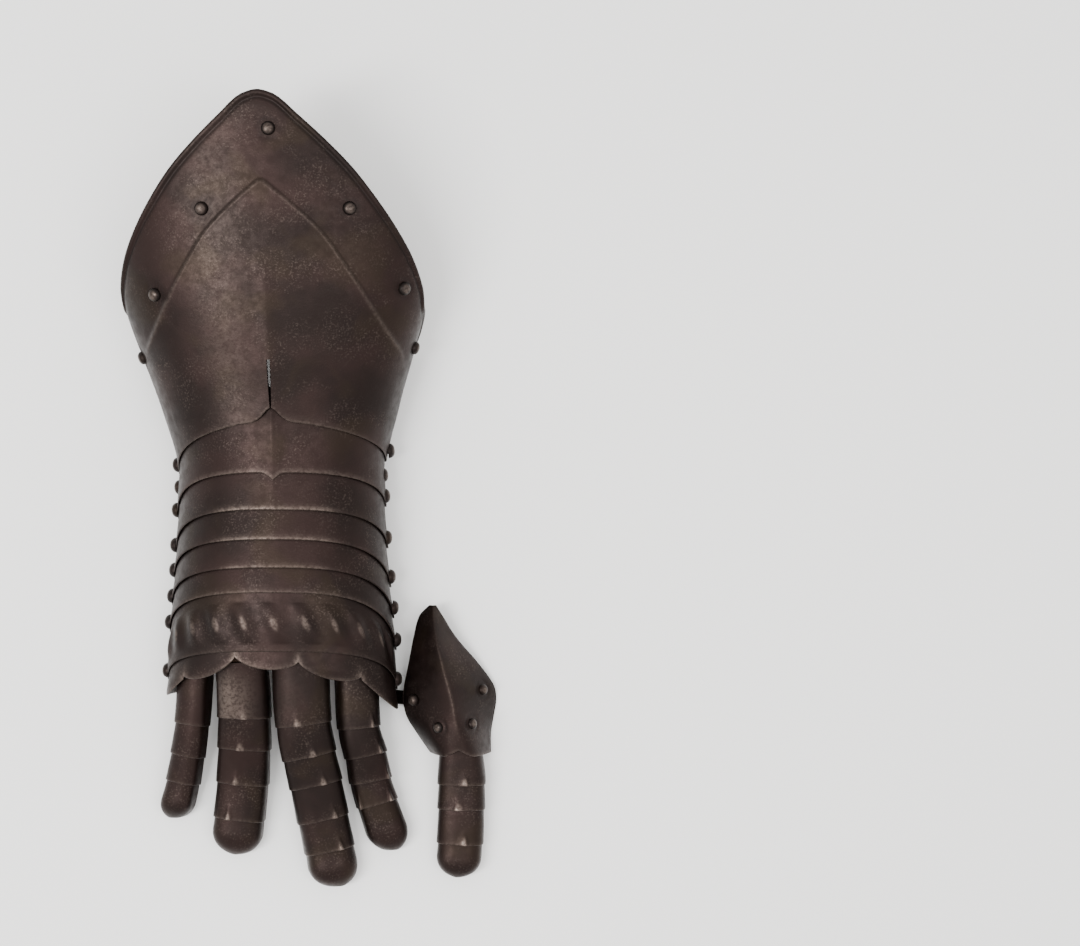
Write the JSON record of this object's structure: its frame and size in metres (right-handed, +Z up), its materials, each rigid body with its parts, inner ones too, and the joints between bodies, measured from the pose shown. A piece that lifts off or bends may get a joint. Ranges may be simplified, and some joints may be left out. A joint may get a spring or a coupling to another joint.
{
  "type": "armoured gauntlet",
  "caption": "Right-hand plate gauntlet with a pointed flared cuff, riveted sliding lames over wrist and hand, a fluted knuckle plate and lamed fingers and thumb.",
  "frame": {"origin": "under the middle of the gauntlet on the surface it lies on", "axes": "+Z up from the surface, back of the hand up; +Y towards the cuff's point; +X towards the thumb"},
  "size_m": [0.1804, 0.3847, 0.0821],
  "materials": {
    "plate_steel": "russet-brown patinated sheet steel, worn satin",
    "rivet_steel": "dark patinated domed rivets",
    "strip_leather": "plain vegetable-tanned strap leather"
  },
  "bodies": {
    "cuff": {"cuff": "plate_steel", "pivot_1_left": "rivet_steel", "pivot_1_right": "rivet_steel"},
    "wrist": {"wrist_plate": "plate_steel", "wrist_rivet_left": "rivet_steel", "wrist_rivet_right": "rivet_steel", "pivot_2_left": "rivet_steel", "pivot_2_right": "rivet_steel"},
    "hand_1": {"hand_lame_1": "plate_steel", "pivot_3_left": "rivet_steel", "pivot_3_right": "rivet_steel"},
    "hand_2": {"hand_lame_2": "plate_steel", "pivot_4_left": "rivet_steel", "pivot_4_right": "rivet_steel"},
    "hand_3": {"hand_lame_3": "plate_steel", "pivot_5_left": "rivet_steel", "pivot_5_right": "rivet_steel"},
    "hand_4": {"hand_lame_4": "plate_steel", "pivot_6_left": "rivet_steel", "pivot_6_right": "rivet_steel"},
    "knuckles": {"knuckle_plate": "plate_steel", "pivot_7_left": "rivet_steel", "pivot_7_right": "rivet_steel"},
    "fingers": {"finger_root_plate": "plate_steel", "thumb_pivot_rivet": "rivet_steel", "little_lame_1": "plate_steel", "little_lame_2": "plate_steel", "little_lame_3": "plate_steel", "little_tip": "plate_steel", "little_leather": "strip_leather", "ring_lame_1": "plate_steel", "ring_lame_2": "plate_steel", "ring_lame_3": "plate_steel", "ring_lame_4": "plate_steel", "ring_tip": "plate_steel", "ring_leather": "strip_leather", "middle_lame_1": "plate_steel", "middle_lame_2": "plate_steel", "middle_lame_3": "plate_steel", "middle_lame_4": "plate_steel", "middle_lame_5": "plate_steel", "middle_tip": "plate_steel", "middle_leather": "strip_leather", "index_lame_1": "plate_steel", "index_lame_2": "plate_steel", "index_lame_3": "plate_steel", "index_lame_4": "plate_steel", "index_tip": "plate_steel", "index_leather": "strip_leather"},
    "thumb": {"thumb_plate": "plate_steel", "thumb_lame_1": "plate_steel", "thumb_lame_2": "plate_steel", "thumb_lame_3": "plate_steel", "thumb_tip": "plate_steel", "thumb_leather": "strip_leather"}
  },
  "joints": [
    {"name": "wrist_pivot", "type": "hinge", "parent": "cuff", "child": "wrist", "pos_m": [-0.01496, 0.02113, 0.014], "axis": [0.9978, 0.0663, 0], "range_deg": [-4, 3]},
    {"name": "lame_1_pivot", "type": "hinge", "parent": "wrist", "child": "hand_1", "pos_m": [-0.01523, -0.00116, 0.014], "axis": [0.9977, 0.0674, 0], "range_deg": [-4, 3]},
    {"name": "lame_2_pivot", "type": "hinge", "parent": "hand_1", "child": "hand_2", "pos_m": [-0.01523, -0.02013, 0.014], "axis": [0.9994, 0.0348, 0], "range_deg": [-4, 3]},
    {"name": "lame_3_pivot", "type": "hinge", "parent": "hand_2", "child": "hand_3", "pos_m": [-0.01494, -0.03595, 0.014], "axis": [0.9995, -0.032, 0], "range_deg": [-4, 3]},
    {"name": "lame_4_pivot", "type": "hinge", "parent": "hand_3", "child": "hand_4", "pos_m": [-0.01508, -0.05, 0.014], "axis": [0.9985, -0.0545, 0], "range_deg": [-4, 3]},
    {"name": "knuckle_pivot", "type": "hinge", "parent": "hand_4", "child": "knuckles", "pos_m": [-0.01498, -0.06429, 0.014], "axis": [0.9968, -0.08, 0], "range_deg": [-4, 3]},
    {"name": "finger_root_pivot", "type": "hinge", "parent": "knuckles", "child": "fingers", "pos_m": [-0.0153, -0.08592, 0.014], "axis": [0.9992, -0.0391, 0], "range_deg": [-4, 3]},
    {"name": "thumb_pivot", "type": "hinge", "parent": "fingers", "child": "thumb", "pos_m": [0.05304, -0.09823, 0.00908], "axis": [-0.6067, -0.0588, 0.7928], "range_deg": [-8, 6]}
  ]
}
